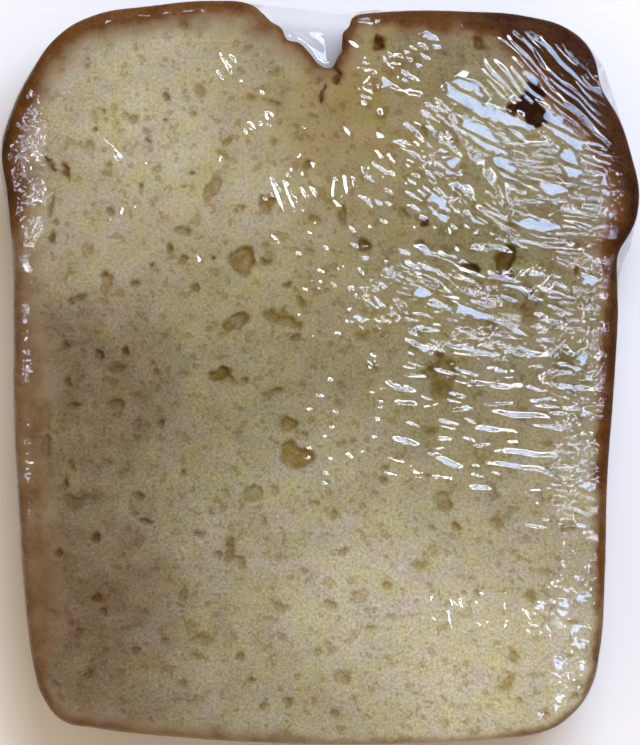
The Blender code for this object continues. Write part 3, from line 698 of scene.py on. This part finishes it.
film = {
    "step": 0.5,
    # boxes in which the front's cells are halved once more: left, bottom, right, top
    "fineZones": [
        (-14, -46, 44, 50), (-44, -40, -34, 36), (-28.5, 18.5, -21.5, 30), (-18, 12.5, -14, 17),
    ],
    "fineFrom": 0.03,  # a crease's cells are halved where it is higher than this
    "coarseRim": 0.6,  # no cell is halved so near to the rim
    "edgeRadius": 1.6,
    "wallRings": 14,
    "low": 0.16,
    "high": boxHigh[2] - 0.32,
    "triangles": 196000,
    # where the right lip of the split pushes it out: x, y, reach along and inwards, how far
    "lip": (6.4, 47.4, 2.8, 1.5, 0.4),
    "dipLip": 2.6,  # how far it is drawn in over the split, at the crown and at the root
    "dipRoot": 0.15,
    "dipRim": 1.2,
    # waves of its wall and of the front's rim: size, height and start of the noise, and how far in
    "pleats": [(2.6, 0.10, 0), (1.1, 0.05, 5)],
    "pleatTall": 0.3,  # how much slower a pleat changes upwards
    "pleatReach": 2.0,
    "rimWaves": [(1.9, 0.12, 2), (0.9, 0.072, 8)],
    "rimReach": 3.5,
    # how far in from the front's rim it sticks to the crust: x, y, width. It is loose at the left
    "cling": [
        (0, 48, 3.5), (-30, 46, 2.2), (-40, 36, 0.6), (-42, 25, 0.3), (-40, -10, 0.3), (-34, -45, 1),
        (0, -49, 1.2), (33, -44, 0.9), (37.5, -28, 1.3), (38.3, -8, 1.6), (39.5, 8, 2.2), (42, 23, 3.2),
        (38, 38, 3.4), (27, 46.5, 3),
    ],
    "clingReach": 3.0,  # how far apart these rows are blended
    "clingFrom": 15.0,  # the height from which it sticks or crinkles
    "lowest": -0.12,  # how far a hollow between creases may reach in
    # groups of creases: x, y, turn from +X, length, how far the group reaches along and across, count,
    # height and half width of a crease
    "creaseGroups": [
        (26.3, 38.8, -49, 9, 3, 9, 10, 0.18, 0.34), (33.7, 33.3, -42, 11.5, 3, 8, 10, 0.18, 0.32),
        (32.6, 41.3, -46, 10, 2, 3.5, 4, 0.18, 0.34), (35.6, 37, -44, 6.5, 2, 1.8, 2, 0.18, 0.32),
        (23, 30, -30, 3.4, 9, 5.5, 22, 0.16, 0.31), (27.4, 25.6, -6, 4.2, 6, 8.5, 24, 0.16, 0.30),
        (35, 24.4, -14, 5, 3, 11.5, 22, 0.16, 0.29), (31, 17.6, -7, 7, 7, 4.4, 8, 0.17, 0.34),
        (15, 30.5, -30, 2.2, 7, 8, 24, 0.15, 0.31), (16.5, 22, -35, 2.4, 8, 8, 30, 0.15, 0.31),
        (9.5, 24.5, -45, 1.8, 5, 9, 18, 0.14, 0.30), (24, 20, -25, 3.2, 6, 5, 12, 0.15, 0.31),
        (18.8, 10.8, -16, 3.4, 15, 7.5, 44, 0.16, 0.33), (20, 5.1, -12, 2.8, 16, 4.5, 22, 0.14, 0.30),
        (10, 11.5, -30, 1.6, 5, 8, 16, 0.14, 0.29), (31.5, 9, -12, 2.2, 8, 8, 24, 0.14, 0.28),
        (22, -7, -5, 2.2, 22, 17, 40, 0.13, 0.28), (34, -4, -8, 1.4, 6, 26, 44, 0.15, 0.30),
        (6, 0, -20, 1.3, 12, 32, 34, 0.14, 0.32), (4, 14, -30, 1.4, 14, 14, 22, 0.14, 0.32),
        (-4.2, 23.6, -40, 1, 4, 7, 6, 0.16, 0.34), (20, -32, -64, 1.8, 4, 12, 12, 0.15, 0.32),
        (31, -31, -40, 1.8, 6, 10, 20, 0.15, 0.34), (33, -42, 35, 2.2, 3, 6, 9, 0.15, 0.34),
        (-8.5, 32.5, -60, 1.4, 2, 5, 6, 0.14, 0.34), (-12.5, 40, -65, 1.6, 2, 3, 4, 0.14, 0.34),
        (-20, 34, -40, 0.8, 30, 22, 16, 0.11, 0.28), (9, 37.5, -50, 1.4, 6, 9, 16, 0.15, 0.36),
        (12, 41, -20, 1.8, 6, 5, 10, 0.16, 0.38),
    ],
    # single creases that bend: x, y, length, turn, bend
    "longCreases": [
        (26.9, 2.1, 7.5, -7, 0.3), (21, 1.8, 8.7, -7, -0.8), (22.4, -2, 9.5, -4, 0.2),
        (32.3, -2.2, 8.3, -8, 0.2), (13.2, 3, 6, -22, 0.4), (26.1, -5.9, 9.2, -5, 0.1),
        (30.4, -7.4, 7.2, -3, 0.3), (26.9, -10.9, 10.2, -5, 0.2), (27.2, -13.2, 13.2, -11, -0.7),
        (16.5, -12, 5, -19, 0.3), (20.8, -15.5, 4, -6, 0), (11.1, -9.4, 4.3, -8, 0),
        (11, -4.4, 3.6, -8, 0.2), (10.5, -2.3, 5.2, -20, 0.5), (21.8, -7.8, 4.2, -3, 0.2),
        (31.8, -0.6, 4.6, 0, -0.5),
    ],
    "longHeight": 0.24,
    "longWidth": 0.58,
    "wanderHeight": 0.20,
    # creases that wander between the groups, and the fine pulls of the film over the split
    "wanderers": [
        [(16.3, 34.7), (18.0, 31.0), (19.2, 29.0), (20.2, 27.0), (22.6, 24.6), (23.6, 22.2), (24.2, 20.4)],
        [(20.0, 21.6), (22.6, 20.0), (24.6, 17.8), (27.0, 15.3)],
        [(24.2, 24.7), (24.7, 22.3), (25.5, 19.7), (27.7, 17.9), (30.6, 17.5)],
        [(9.2, 37.3), (11.6, 36.2), (13.4, 35.9)],
        [(15.6, 33.6), (14.9, 31.0), (15.2, 29.2)],
        [(-6.8, 47.0), (-2.0, 46.3), (3.2, 46.4)],
        [(-6.4, 46.6), (-2.2, 44.9), (2.4, 44.1)],
        [(-6.0, 46.2), (-2.4, 43.6), (0.8, 41.6)],
    ],
    # facets between creases, which mirror the window: x, y, length, width, turn
    "facets": [
        (18.9, 36.5, 5, 3.8, -8), (23.2, 33.6, 9.8, 1.7, -20), (21.6, 30.6, 7, 2.4, -38),
        (24.2, 26.8, 4.2, 2, -40), (32, 31.6, 7, 2.2, -42), (28.2, 19.4, 6, 1.7, -8),
        (17.2, 27, 2.8, 1.6, 50), (15.6, 21.6, 4, 2.4, -50), (32.8, 27.2, 4, 2.2, -60),
        (37.4, 24.4, 2.8, 1.4, -80), (35.9, 41.2, 4.8, 1.6, -62), (14, 10.7, 4, 1.8, 30),
        (20, 7.7, 4.6, 1.5, -15), (27.6, 38.6, 2.6, 1.2, -48), (30.4, 24, 3.6, 1.4, -15),
        (33.9, 1, 2.6, 2.2, 0), (34.8, -5.4, 2, 1.1, 20), (34.9, -15, 1.4, 2.2, 70),
        (28.7, -31, 1.9, 1.3, 60), (31.8, -30.8, 2.2, 1.8, 80), (34.5, -29.5, 2.2, 1.4, 20),
        (33.5, -33.7, 2.2, 1.4, 30), (33.3, -35.9, 3, 1.9, 10), (31, -38.8, 2.2, 1.8, 60),
        (34.1, -38.8, 2.2, 1.2, 70), (31.2, -43.3, 2.4, 1.4, 50), (29, -44.9, 1.3, 1.2, 50),
        (34.3, -20, 1.2, 1, 30), (35.2, -25.7, 1.4, 0.8, 80), (35.2, 12, 2.2, 1.2, 10),
        (8.6, 37.9, 1.4, 1.2, 20), (14.1, 44, 2.2, 1, -10), (11, 39.2, 1.3, 1.1, 0),
    ],
    # dashes that mirror the lamp, in the same terms
    "dashes": [
        (-5.6, 23.2, 5, 0.7, -68), (-4, 22.9, 4.8, 0.6, -68), (-2.2, 23.5, 1.9, 0.5, -60),
        (-1, 23.6, 2.2, 0.5, -60), (1.7, 24.1, 2.6, 0.7, -100), (3.3, 24.5, 2.8, 0.7, -78),
        (4.3, 24.9, 1.6, 0.5, -78), (-6, 17.4, 1.6, 0.5, -55), (-12.5, 40.4, 3.5, 0.5, -62),
        (-10.4, 38.1, 0.7, 0.5, 90), (-8.8, 32.3, 1.4, 0.4, -45), (-7, 33.5, 1.4, 0.5, -60),
        (-9.5, 32.7, 0.6, 0.4, -60), (-2.2, 32, 0.9, 0.4, -30), (-2.8, 28.3, 0.8, 0.5, 45),
        (-3.8, 26.4, 0.6, 0.5, 0), (-1, 27.2, 1, 0.5, -60), (5.6, 26.4, 1.1, 0.4, -65),
        (6.3, 26.7, 1.1, 0.4, -65), (7, 27.1, 1.1, 0.4, -65), (7.6, 28.5, 1.6, 0.5, -50),
        (5.9, 41.2, 0.8, 0.4, -30), (6, 40.4, 1.3, 0.4, -15), (5.9, 39.5, 1.6, 0.5, 0),
        (6, 38.2, 1.8, 0.5, 45), (6.2, 36.9, 1.6, 0.5, -30), (5.9, 36, 1.4, 0.4, -10),
        (5.6, 35.2, 0.8, 0.5, 20), (7.7, 31, 1.3, 0.5, -30), (12.5, 1, 2.3, 0.4, -15),
        (12.6, -0.6, 3.2, 0.4, -2), (6.9, 1.1, 1.7, 0.4, -18), (6.7, -2.7, 0.9, 0.4, 0),
        (7.6, -6.2, 0.9, 0.4, -10), (12, -6.9, 2, 0.4, -15), (5.4, -10.4, 0.7, 0.4, 0),
        (9.8, -11.5, 2.5, 0.4, -15), (9.2, -13.3, 2, 0.4, -12), (12.8, -13.8, 1.3, 0.4, -12),
        (15.4, -13.8, 1.4, 0.4, 5), (17, -14, 1.2, 0.4, -10), (16.8, -6.7, 2.9, 0.45, -10),
        (16.5, -8.8, 2.6, 0.4, -3), (17.7, -2.9, 2, 0.4, -5), (17.6, -3.8, 1.8, 0.4, -5),
        (18.6, -5, 3.2, 0.4, 8), (23.3, -4.3, 4.4, 0.4, 5), (19.2, -0.1, 3.4, 0.45, -18),
        (16.2, 0, 2.8, 0.5, -15), (18.8, 3, 4.4, 0.45, -8), (29.2, -4.5, 3.8, 0.5, -8),
        (32.9, -4.9, 2.4, 0.4, -5), (32.5, -10.6, 2.4, 0.4, 5), (25.4, 4.5, 3.2, 0.4, 0),
        (29.2, 4, 2.2, 0.4, -5), (20.4, 4.4, 2.8, 0.5, -10), (28, -20.3, 3.2, 0.45, -8),
        (29.5, -19.4, 1.2, 0.4, 5), (33.2, -16.1, 4.6, 0.4, -16), (33.7, -18.3, 3.4, 0.5, -22),
        (27.6, -16.3, 0.7, 0.4, 0), (28.4, -17.2, 0.7, 0.4, -30), (31.9, -25.2, 1.4, 0.5, -60),
        (31.8, -22.7, 0.6, 0.4, 0), (14.6, -29.7, 1.2, 0.5, -80), (17, -32.5, 2.6, 0.5, -75),
        (17.2, -30.2, 1.2, 0.5, -75), (18.4, -30.3, 1.6, 0.5, -65), (20.5, -30.3, 1, 0.4, -60),
        (24.2, -30.8, 1.5, 0.4, -75), (21.9, -32.9, 0.9, 0.4, -80), (24.2, -33.2, 1.9, 0.4, 60),
        (27.1, -31.8, 2.4, 0.4, -48), (29.9, -33.6, 1.8, 0.4, -50), (-26.7, 28.9, 1, 0.4, -50),
        (-26.3, 28.3, 1, 0.4, -50), (-26.8, 28, 0.8, 0.35, -50), (-26, 21.1, 1.2, 0.6, 75),
        (-24.3, 21.6, 0.7, 0.5, 30), (-15.9, 14.7, 1.1, 0.5, -60), (-13.1, 27.9, 0.9, 0.5, 80),
        (-27.5, 19.8, 0.5, 0.4, 0), (-22.9, 27.2, 0.5, 0.4, 0), (-38.9, 32.2, 2.2, 0.5, 50),
        (-38, 31.9, 1.2, 0.4, 50), (-39.8, 27.6, 1.6, 0.45, 45), (-39, 29.6, 1, 0.4, 45),
        (-38.9, 20.2, 1.6, 0.6, 50), (-38.5, 17.6, 0.8, 0.5, 60),
    ],
    # small dashes at random: x, y, turn of the group, how far it reaches along and across, count, length,
    # width and turn of a dash
    "glints": [
        (-38.8, 27, 92, 13, 2, 20, 0.9, 0.35, 50), (34.6, -2, 88, 32, 4, 50, 0.6, 0.36, -15),
        (22, 2, -8, 28, 10, 30, 0.8, 0.34, -8), (12, 12, 60, 26, 9, 24, 0.7, 0.34, -30),
        (0.5, 13, 70, 22, 8, 12, 0.5, 0.34, 30),
    ],
    "facetLimit": 0.9,  # those that rise more than this are broken into strips
    "facetStep": 0.6,  # and each strip rises this much
    "facetWobble": (2.5, 0.05, 3),  # waves of a facet, and how far it follows the creases under it
    "facetFollows": 0.12,
    "raggedSize": 0.8,  # size of the waves of a facet's and a dash's outline, and how far they reach
    "facetRagged": 0.5,
    "dashRagged": 0.15,
    "dashFoot": 0.04,  # the height of a dash's lower end
    # crumpled film: x, y, half length, half width, turn, size and height of its waves
    "crumples": [
        (13.5, 26, 11, 8, -50, 1.3, 0.22), (27, 25, 9, 10, -20, 1.2, 0.20),
        (19, 8, 18, 7, -14, 1.3, 0.22), (24, -8, 16, 9, -5, 1.1, 0.10), (30, -34, 12, 7, -60, 1.1, 0.13),
        (-39.6, 20, 18, 2.6, 88, 1, 0.12), (9.5, 36.5, 7.5, 5, -50, 1.1, 0.15),
        (7, 4, 22, 7, 85, 1.2, 0.10), (35.5, -14, 24, 2.6, 88, 1, 0.14),
    ],
    "stretch": 2.0,  # how much longer than wide a wave of crumpled film is
    "crumpleCloud": (3.2, 1.8, 6),  # the noise by which it comes and goes
    "smooth": (-0.6, 37.2, 4.4, 4.4),  # where it lies smooth: x, y, half length, half width
    # finely crinkled film: x, y, half length, half width, turn, strength
    "crinkles": [
        (34.4, 0, 18, 4.2, 88, 0.8), (27.6, 24.6, 13, 9, -42, 0.6), (18, 8.5, 11, 5, -14, 0.6),
        (-39.2, 27, 9, 2.9, 92, 1), (33.8, -34, 12, 3.2, 86, 0.5), (-39.4, -10, 34, 1.3, 89, 0.8),
        (16, -6, 22, 12, -10, 0.15),
    ],
    "crinkleCloud": (2.4, 1.6, 9),  # the noise by which they come and go
    "crinkleSize": 0.5,
    "crinkleHeight": 0.22,
    # its smallest facets: how long and wide, how they are turned, and how far each tilts its own way
    "shard": (0.65, 0.22),
    "shardTurn": 50,
    "shardTilt": 0.22,
    "shardLean": 0.10,  # how far they tilt on the whole
    "seed": 8,
    # the back: gathers that run to the lap of the film's two ends, in the terms of creaseGroups
    "backGroups": [
        (-20, 0, 4, 26, 8, 70, 26, 0.12, 0.55), (20, -2, -5, 24, 8, 70, 26, 0.12, 0.55),
        (0, 10, 84, 14, 60, 9, 10, 0.12, 0.45),
    ],
    "lap": [(1.0, -47.5), (2.2, -24.0), (0.6, 0.0), (1.8, 24.0), (0.4, 38.0)],
    "lapHeight": 0.13,
    "lapWidth": 0.5,
    "mirror": (0.09, 0.5),  # how much it mirrors where it is met head on and at a graze
    "stuckShine": 0.01,  # how much of that is left where it sticks
    "blur": 0.08,
}


# A ridge along a line that bends and wanders a little, drawn out to nothing at both ends
def addCrease(relief, places, draw, x, y, turn, length, height, width, bend):
    near = np.flatnonzero(np.hypot(places[:, 0] - x, places[:, 1] - y) < length * 0.6 + 1.5)
    if not len(near):
        return
    along, across = turned(places[near], x, y, turn)
    share = along / (length / 2)
    across -= bend * (share ** 2 - 0.4) + 0.12 * np.sin(along * 1.1 + draw.uniform(0, 6.3))
    taper = np.clip(1 - share ** 2, 0, 1) ** 0.6
    relief[near] = np.maximum(relief[near], height * taper * np.exp(-(across / width) ** 2))


def addGroups(relief, places, draw, groups):
    for x, y, turn, length, along, across, count, height, width in groups:
        for k in range(count):
            u = draw.uniform(-0.5, 0.5) * along
            v = ((k + draw.uniform(0.1, 0.9)) / count - 0.5) * across
            spot = spotAt(x, y, u, v, turn)
            size = length * draw.uniform(0.6, 1.3)
            addCrease(
                relief, places, draw, *spot, turn + draw.gauss(0, 14 / length), size,
                height * draw.uniform(0.6, 1.2), width * draw.uniform(0.8, 1.3),
                draw.uniform(-0.06, 0.06) * size,
            )


def ovalShare(places, x, y, halfLong, halfWide, turn, soft):
    u, v = turned(places, x, y, turn)
    return np.clip((1 + soft - np.hypot(u / halfLong, v / halfWide)) / soft, 0, 1)


# Crumpled film: long waves across the turn that come and go
def addCrumple(relief, places, x, y, halfLong, halfWide, turn, size, height):
    share = ovalShare(places, x, y, halfLong, halfWide, turn, 0.4)
    near = np.flatnonzero(share > 0)
    u, v = turned(places[near], x, y, turn)
    waves = np.column_stack([u / film["stretch"], v, np.full(len(near), x)])
    spots = np.column_stack([places[near], np.full(len(near), x)])
    strength = np.clip(noiseAt(spots, film["crumpleCloud"]) + 0.35, 0, 1)
    relief[near] += share[near] * strength * noiseAt(waves, (size, height, 0))


# The slope of film at a place that mirrors a lamp into the camera
def mirrorSlope(x, y, lamp):
    spot = Vector((x * mm, y * mm, film["high"] * mm))
    toLamp = Vector(studio[lamp + "At"]) - spot
    halfway = (Vector(studio["cameraAt"]) - spot).normalized() + toLamp.normalized()
    return -halfway.x / halfway.z, -halfway.y / halfway.z


# Tilts the film in an oval so that it mirrors a lamp. Where it would rise too far it is broken into strips
def addFacet(relief, places, ragged, x, y, length, width, turn, lamp, wavy, foot):
    near = np.flatnonzero(np.hypot(places[:, 0] - x, places[:, 1] - y) < 0.6 * length + 1)
    share = ovalShare(ragged[near], x, y, length / 2, width / 2, turn, 0.2)
    near, share = near[share > 0], share[share > 0]
    if len(near):
        wobble = noiseAt(np.column_stack([places[near], np.zeros(len(near))]), film["facetWobble"])
        rise = (places[near] - (x, y)) @ mirrorSlope(x, y, lamp)
        rise += wavy * (wobble + film["facetFollows"] * relief[near])
        if np.ptp(rise) > film["facetLimit"]:
            rise = np.mod(rise - rise.min(), film["facetStep"])
        rise += max(foot - rise.min(), 0)
        relief[near] = relief[near] * (1 - share) + share * rise


def frontRelief(places):
    draw = random.Random(film["seed"])
    relief = np.zeros(len(places))
    addGroups(relief, places, draw, film["creaseGroups"])
    for x, y, length, turn, bend in film["longCreases"]:
        addCrease(relief, places, draw, x, y, turn, length, film["longHeight"], film["longWidth"], bend)
    for points in film["wanderers"]:
        away, along = lineDistance(places, points)
        taper = np.clip(4 * along * (1 - along), 0, 1) ** 0.4
        relief = np.maximum(relief, film["wanderHeight"] * taper * np.exp(-(away / film["longWidth"]) ** 2))
    for crumple in film["crumples"]:
        addCrumple(relief, places, *crumple)
    relief *= 1 - 0.9 * ovalShare(places, *film["smooth"], 0, 0.4)
    flat = np.column_stack([places, np.zeros(len(places))])
    warp = np.array([noise.noise_vector(Vector(place) / film["raggedSize"])[:2] for place in flat])
    for facet in film["facets"]:
        addFacet(relief, places, places + film["facetRagged"] * warp, *facet, "window", 1.0, film["lowest"])
    dashes = list(film["dashes"])
    for x, y, turn, along, across, count, length, width, dashTurn in film["glints"]:
        for _ in range(count):
            u, v = draw.uniform(-0.5, 0.5) * along, draw.uniform(-0.5, 0.5) * across
            spot = spotAt(x, y, u, v, turn)
            size = draw.uniform(0.5, 1.5)
            dashes.append((*spot, length * size, width * draw.uniform(0.8, 1.3), draw.gauss(dashTurn, 25)))
    for dash in dashes:
        addFacet(relief, places, places + film["dashRagged"] * warp, *dash, "lamp", 0.1, film["dashFoot"])
    return np.maximum(relief, film["lowest"])


def backRelief(places):
    draw = random.Random(film["seed"] + 1)
    relief = np.zeros(len(places))
    addGroups(relief, places, draw, film["backGroups"])
    away, _ = lineDistance(places, film["lap"])
    return np.maximum(relief, film["lapHeight"] * np.exp(-(away / film["lapWidth"]) ** 2))


# How far the film is drawn in over the split: the deeper, the nearer to the crown
def splitDip(places):
    split = smoothOutline(sliceShape["split"])
    root, lip = split[:, 1].min(), split[:, 1].max()
    dips = np.zeros(len(places))
    near = np.flatnonzero(places[:, 1] > root)
    inside, _ = insideDistance(places[near], split)
    rise = np.clip((places[near, 1] - root) / (lip - root), 0, 1)
    depth = film["dipRoot"] + (film["dipLip"] - film["dipRoot"]) * rise
    dips[near] = depth * (1 - np.exp(-(np.maximum(inside, 0) / film["dipRim"]) ** 2))
    return dips


def makeFilm():
    outline = smoothOutline(sliceShape["outline"])
    work = sheetFromOutline(outline, 0.0, film["step"])
    slabFromSheet(work, film["wallRings"])
    places = readPlaces(work)
    inside, _ = insideDistance(places, outline)
    x, y = places[:, 0], places[:, 1]
    fine = np.zeros(len(places), bool)
    for left, bottom, right, top in film["fineZones"]:
        fine |= (x > left) & (x < right) & (y > bottom) & (y < top)
    refineFront(work, (inside > film["coarseRim"]) & fine)
    # and once more where a crease or a facet is
    front = readParts(work) == 1
    places = readPlaces(work)
    relief = np.zeros(len(places))
    relief[front] = frontRelief(places[front, :2])
    inside, _ = insideDistance(places, outline)
    raised = dict(zip(work.verts, relief > film["fineFrom"]))
    beside = [any(raised[edge.other_vert(vertex)] for edge in vertex.link_edges) for vertex in work.verts]
    raised = (relief > film["fineFrom"]) | np.array(beside)
    refineFront(work, (inside > film["coarseRim"]) & raised)
    part, places = readParts(work), readPlaces(work)
    roundRims(places, part, outline, 0.0, film["edgeRadius"], film["low"], film["high"])
    front, back = part == 1, part == 0
    print(f"film: {len(places)} places, {front.sum()} on the front")
    places[front, 2] += frontRelief(places[front, :2])
    inside, _ = insideDistance(places, outline)
    rim = np.flatnonzero(front & (inside < film["rimReach"]))
    waves = noiseAt(places[rim], *film["rimWaves"])
    places[rim, 2] += waves * np.clip(inside[rim], 0, 1) * np.clip(film["rimReach"] - inside[rim], 0, 1)
    places[back, 2] -= backRelief(places[back, :2])
    places[:, 2] += splitDip(places) * np.where(back, 1, np.where(front, -1, 0))
    # the wall and both rims wave a little, in long upright pleats
    inside, inwards = insideDistance(places, outline)
    near = np.flatnonzero(inside < film["pleatReach"])
    waves = noiseAt(places[near] * (1, 1, film["pleatTall"]), *film["pleats"])
    waves *= np.clip(film["pleatReach"] - inside[near], 0, 1)
    x, y, reach, innerReach, push = film["lip"]
    away = np.hypot(places[near, 0] - x, places[near, 1] - y)
    waves -= push * np.exp(-(away / reach) ** 2) * np.clip(innerReach - inside[near], 0, 1)
    places[near, :2] += inwards[near] * waves[:, None]
    writePlaces(work, places)
    kept = np.zeros(len(places), bool)
    for x, y, length, width, turn in film["dashes"]:
        kept |= ovalShare(places, x, y, length / 2, width / 2, turn, 0.4) > 0
    made = finishMesh("cling_film", work, film["triangles"], np.flatnonzero(kept & front))
    paintFilm(made.data, outline)
    return made


# What the film's material reads: where it sticks to the crust, and where it is finely crinkled
def paintFilm(mesh, outline):
    places = np.array([vertex.co for vertex in mesh.vertices]) / mm
    inside, _ = insideDistance(places, outline)
    width = blendRows(places, film["cling"], film["clingReach"])[:, 0]
    upper = np.clip((places[:, 2] - film["clingFrom"]) / 2, 0.2, 1)
    clings = np.clip(width - inside, 0, 1) * upper * np.clip(width, 0, 1)
    for x, y, reach, _ in cake["hollows"]:
        clings *= 1 - np.exp(-((places[:, 0] - x) ** 2 + (places[:, 1] - y) ** 2) / (0.7 * reach) ** 2)
    addAttribute(mesh, "clings", clings)
    crinkled = np.zeros(len(places))
    for *oval, strength in film["crinkles"]:
        crinkled = np.maximum(crinkled, strength * ovalShare(places, *oval, 0.5))
    for x, y, length, width, turn in film["facets"]:
        crinkled *= 1 - 0.9 * ovalShare(places, x, y, length / 2, width / 2, turn, 0.3)
    for x, y, length, width, turn, _ in cake["pocket"]:
        crinkled *= 1 - 0.8 * ovalShare(places, x, y, length / 2, width / 2, turn, 0.3)
    patches = np.clip(0.6 + noiseAt(places, film["crinkleCloud"]), 0, 1)
    addAttribute(mesh, "crinkled", crinkled * patches * (places[:, 2] > film["clingFrom"]))


# Stretched cling film, blown from clear PVC: so thin that it tints nothing and only mirrors. Its two
# faces together send back about 9% of the light that meets them head on, and more at a graze. Where it
# sticks to the greasy crust there is no air behind it, and its shine is gone
def filmMaterial():
    material, add = newMaterial("stretched clear cling film")
    facing = add("ShaderNodeLayerWeight", {"Blend": 0.5}, output="Facing")
    grazing = add("ShaderNodeMath", {"operation": "POWER", 1: 5.0}, {0: facing})
    headOn, atGraze = film["mirror"]
    mirrored = add("ShaderNodeMapRange", {"To Min": headOn, "To Max": atGraze}, {"Value": grazing})
    clings = add("ShaderNodeAttribute", {"attribute_name": "clings"}, output="Fac")
    loose = add("ShaderNodeMapRange", {"To Min": 1.0, "To Max": film["stuckShine"]}, {"Value": clings})
    mirrored = add("ShaderNodeMath", {"operation": "MULTIPLY"}, {0: mirrored, 1: loose})
    place = add("ShaderNodeTexCoord", output="Object")
    crinkled = add("ShaderNodeAttribute", {"attribute_name": "crinkled"}, output="Fac")
    settings = {"Scale": 1 / (film["crinkleSize"] * mm), "Detail": 2.0}
    crinkles = add("ShaderNodeTexNoise", settings, {"Vector": place})
    settings = {"Distance": film["crinkleHeight"] * mm}
    normal = add("ShaderNodeBump", settings, {"Height": crinkles, "Strength": crinkled})
    # and small flat facets among them
    length, width = film["shard"]
    settings = {
        "vector_type": "TEXTURE", "Rotation": (0, 0, math.radians(film["shardTurn"])),
        "Scale": (length * mm, width * mm, length * mm),
    }
    place = add("ShaderNodeMapping", settings, {"Vector": place})
    shards = add("ShaderNodeTexVoronoi", {"Scale": 1.0}, {"Vector": place}, "Color")
    reach, least = 2 * film["shardTilt"], film["shardLean"] - film["shardTilt"]
    settings = {"operation": "MULTIPLY_ADD", 1: (reach, reach, 0), 2: (least, least, 0)}
    tilt = add("ShaderNodeVectorMath", settings, {0: shards})
    tilt = add("ShaderNodeVectorMath", {"operation": "SCALE"}, {0: tilt, "Scale": crinkled})
    normal = add("ShaderNodeVectorMath", {"operation": "ADD"}, {0: normal, 1: tilt})
    normal = add("ShaderNodeVectorMath", {"operation": "NORMALIZE"}, {0: normal})
    clear = add("ShaderNodeBsdfTransparent")
    gloss = add("ShaderNodeBsdfAnisotropic", {"Roughness": film["blur"]}, {"Normal": normal})
    mix = add("ShaderNodeMixShader", links={0: mirrored, 1: clear, 2: gloss})
    addNode(material, "ShaderNodeOutputMaterial", links={"Surface": mix})
    return material


def makeFloor():
    work = bmesh.new()
    bmesh.ops.create_grid(work, x_segments=1, y_segments=1, size=1.5)
    mesh = bpy.data.meshes.new("floor")
    work.to_mesh(mesh)
    work.free()
    floor = bpy.data.objects.new("floor", mesh)
    bpy.context.scene.collection.objects.link(floor)
    material, add = newMaterial("matt painted board")
    shader = add("ShaderNodeBsdfPrincipled", {"Base Color": toLinear(studio["floor"]), "Roughness": 0.9})
    addNode(material, "ShaderNodeOutputMaterial", links={"Surface": shader})
    mesh.materials.append(material)


def addLamp(name):
    light = bpy.data.lights.new(name, "AREA")
    light.shape = "RECTANGLE"
    light.size, light.size_y = studio[name + "Size"]
    light.energy = studio[name + "Watts"]
    light.color = toLinear(studio[name + "Tint"])[:3]
    lamp = bpy.data.objects.new(name, light)
    lamp.location = studio[name + "At"]
    lamp.rotation_euler = (-lamp.location).to_track_quat("-Z", "Y").to_euler()
    bpy.context.scene.collection.objects.link(lamp)


def makeStudio():
    scene = bpy.context.scene
    scene.view_settings.view_transform = "Standard"
    scene.world = bpy.data.worlds.new("studio")
    scene.world.use_nodes = True
    room = scene.world.node_tree.nodes["Background"]
    room.inputs["Color"].default_value = toLinear(studio["roomTint"])
    room.inputs["Strength"].default_value = studio["roomLight"]
    scene.world.cycles_visibility.glossy = False  # the film mirrors lamps and floor, not the room
    addLamp("lamp")
    addLamp("window")
    view = bpy.data.cameras.new("camera")
    camera = bpy.data.objects.new("camera", view)
    camera.location = studio["cameraAt"]
    away = studio["cameraAt"][2] - studio["outlineHeight"] * mm
    view.lens = view.sensor_width * away / (studio["frameHeight"] * mm)
    scene.collection.objects.link(camera)
    scene.camera = camera


def main():
    slicePiece = makeCake()
    slicePiece.data.materials.append(crumbMaterial())
    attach(slicePiece, "root")
    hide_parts(cadNode)
    print("cake done")
    filmPiece = makeFilm()
    filmPiece.data.materials.append(filmMaterial())
    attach(filmPiece, "root")
    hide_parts(cadNode)
    print("film done")
    makeFloor()
    makeStudio()
    print("studio done")


main()
